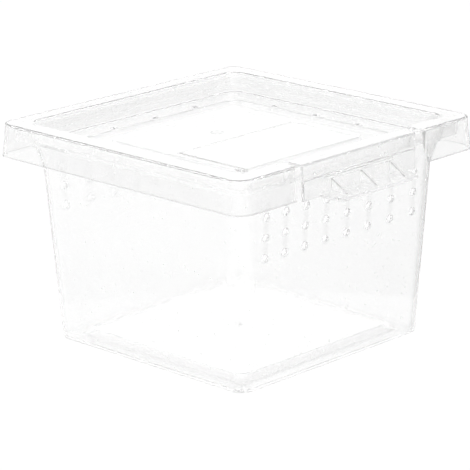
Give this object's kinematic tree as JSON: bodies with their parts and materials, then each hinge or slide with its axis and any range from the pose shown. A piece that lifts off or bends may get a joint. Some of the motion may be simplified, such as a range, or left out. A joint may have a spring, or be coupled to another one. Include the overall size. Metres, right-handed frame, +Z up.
{
  "type": "reptile breeding box",
  "caption": "Clear square tapered tub with rows of vent holes and a recessed lid whose front holds a hinged feeding hatch with a snap latch and finger lip.",
  "frame": {"origin": "middle of the tub's base, on the plane it rests on", "axes": "+Z up, -Y towards the hatch's latch, +X to the right when facing the latch"},
  "size_m": [0.2088, 0.2229, 0.138],
  "materials": {
    "clear_tub": "clear moulded plastic, polished",
    "clear_lid": "clear moulded plastic, polished"
  },
  "bodies": {
    "tub": {"tub": "clear_tub"},
    "lid": {"lid": "clear_lid", "hatch_hinge_web": "clear_lid"},
    "feeding_hatch": {"feeding_hatch": "clear_lid"},
    "hatch_latch": {"hatch_latch": "clear_lid"}
  },
  "joints": [
    {"name": "lid_lift", "type": "slide", "parent": "tub", "child": "lid", "axis": [0, 0, 1], "range_m": [0, 0.06]},
    {"name": "hatch_hinge", "type": "hinge", "parent": "lid", "child": "feeding_hatch", "pos_m": [0, 0, 0.1265], "axis": [-1, 0, 0], "range_deg": [0, 110]},
    {"name": "latch_flex", "type": "hinge", "parent": "feeding_hatch", "child": "hatch_latch", "pos_m": [0, -0.0965, 0.137], "axis": [-1, 0, 0], "range_deg": [0, 8], "stiffness_Nm_per_rad": 0.2}
  ]
}
